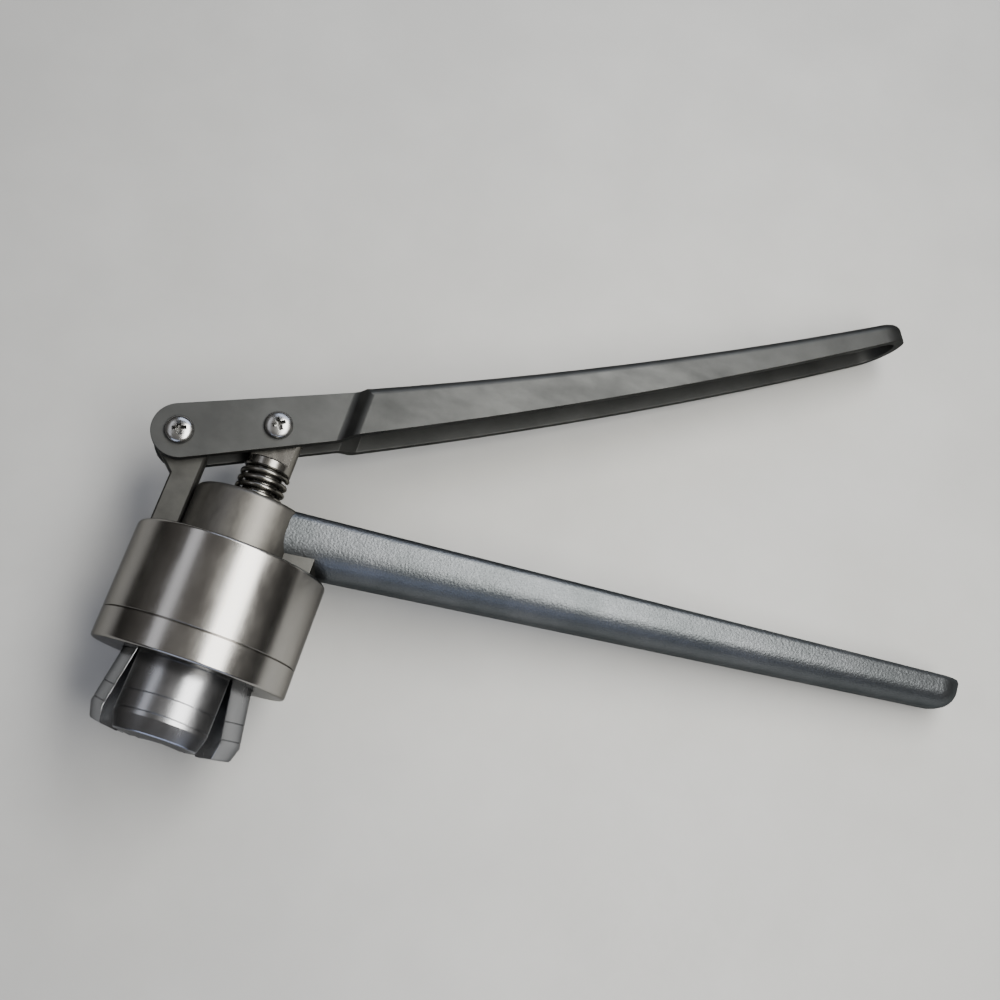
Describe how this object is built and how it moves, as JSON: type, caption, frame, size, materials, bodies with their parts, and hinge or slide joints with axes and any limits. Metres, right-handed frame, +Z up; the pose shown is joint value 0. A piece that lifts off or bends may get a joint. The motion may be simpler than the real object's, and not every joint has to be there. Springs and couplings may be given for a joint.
{
  "type": "hand crimper",
  "caption": "Pliers-type hand crimper for vial caps: sprung handles drive a plunger and cone that close jaws in a round steel bell.",
  "frame": {"origin": "centre of the anvil's face, on the tool's axis, handles open", "axes": "-Y along the tool's axis towards the jaws' open end; +X towards the handles' tips; +Z up from the bench on which the tool lies on its bell and handle"},
  "size_m": [0.2518, 0.1976, 0.0541],
  "materials": {
    "cast_grey": "satin pebbled casting",
    "blasted_steel": "satin blasted",
    "arm_steel": "satin blasted plate",
    "turned_steel": "fine turned",
    "polished_steel": "mirror polished",
    "bright_steel": "ground",
    "screw_steel": "bright",
    "spring_steel": "drawn wire",
    "dark_steel": "black oxide",
    "bronze": "machined",
    "nitrile": "matt"
  },
  "bodies": {
    "lower_body": {"lower_handle": "cast_grey", "side_arm": "arm_steel", "arm_dowel_outer": "bright_steel", "arm_dowel_inner": "bright_steel", "boss_bush": "bronze", "bell_sleeve": "turned_steel", "retaining_ring": "turned_steel", "spring_washer": "dark_steel", "return_spring": "spring_steel", "jaw_o_ring": "nitrile"},
    "upper_handle_body": {"upper_handle": "blasted_steel", "pivot_pin": "bright_steel", "pivot_screw_front": "screw_steel", "pivot_screw_back": "screw_steel", "link_pin": "bright_steel", "link_screw_front": "screw_steel", "link_screw_back": "screw_steel", "pivot_washer_front": "bronze", "pivot_washer_back": "bronze"},
    "plunger_body": {"plunger": "bright_steel", "wedge_cone": "dark_steel", "plunger_circlip": "dark_steel", "anvil": "bright_steel", "anvil_lock_nut": "dark_steel"},
    "jaw_front_body": {"jaw_front": "polished_steel"},
    "jaw_right_body": {"jaw_right": "polished_steel"},
    "jaw_back_body": {"jaw_back": "polished_steel"},
    "jaw_left_body": {"jaw_left": "polished_steel"}
  },
  "joints": [
    {"name": "handle_hinge", "type": "hinge", "parent": "lower_body", "child": "upper_handle_body", "pos_m": [-0.02567, 0.0668, 0.00222], "axis": [0.0861, 0, 0.9963], "range_deg": [-17, 0], "stiffness_Nm_per_rad": 2.8, "springref_deg": 6.88},
    {"name": "plunger_slide", "type": "slide", "parent": "lower_body", "child": "plunger_body", "axis": [0, 1, 0], "range_m": [-0.0077, 0], "deforming": ["return_spring"]},
    {"name": "jaw_front_hinge", "type": "hinge", "parent": "lower_body", "child": "jaw_front_body", "pos_m": [0.00152, 0.0087, 0.01753], "axis": [0.9963, 0, -0.0861], "range_deg": [0, 9], "deforming": ["jaw_o_ring"]},
    {"name": "jaw_right_hinge", "type": "hinge", "parent": "lower_body", "child": "jaw_right_body", "pos_m": [0.01753, 0.0087, -0.00152], "axis": [-0.0861, 0, -0.9963], "range_deg": [0, 9]},
    {"name": "jaw_back_hinge", "type": "hinge", "parent": "lower_body", "child": "jaw_back_body", "pos_m": [-0.00152, 0.0087, -0.01753], "axis": [-0.9963, 0, 0.0861], "range_deg": [0, 9]},
    {"name": "jaw_left_hinge", "type": "hinge", "parent": "lower_body", "child": "jaw_left_body", "pos_m": [-0.01753, 0.0087, 0.00152], "axis": [0.0861, 0, 0.9963], "range_deg": [0, 9]}
  ],
  "couplings": [
    {"joint": "plunger_slide", "follows": "handle_hinge", "m_per_rad": 0.025959},
    {"joint": "jaw_front_hinge", "follows": "handle_hinge", "ratio": -0.52941},
    {"joint": "jaw_right_hinge", "follows": "handle_hinge", "ratio": -0.52941},
    {"joint": "jaw_back_hinge", "follows": "handle_hinge", "ratio": -0.52941},
    {"joint": "jaw_left_hinge", "follows": "handle_hinge", "ratio": -0.52941}
  ]
}
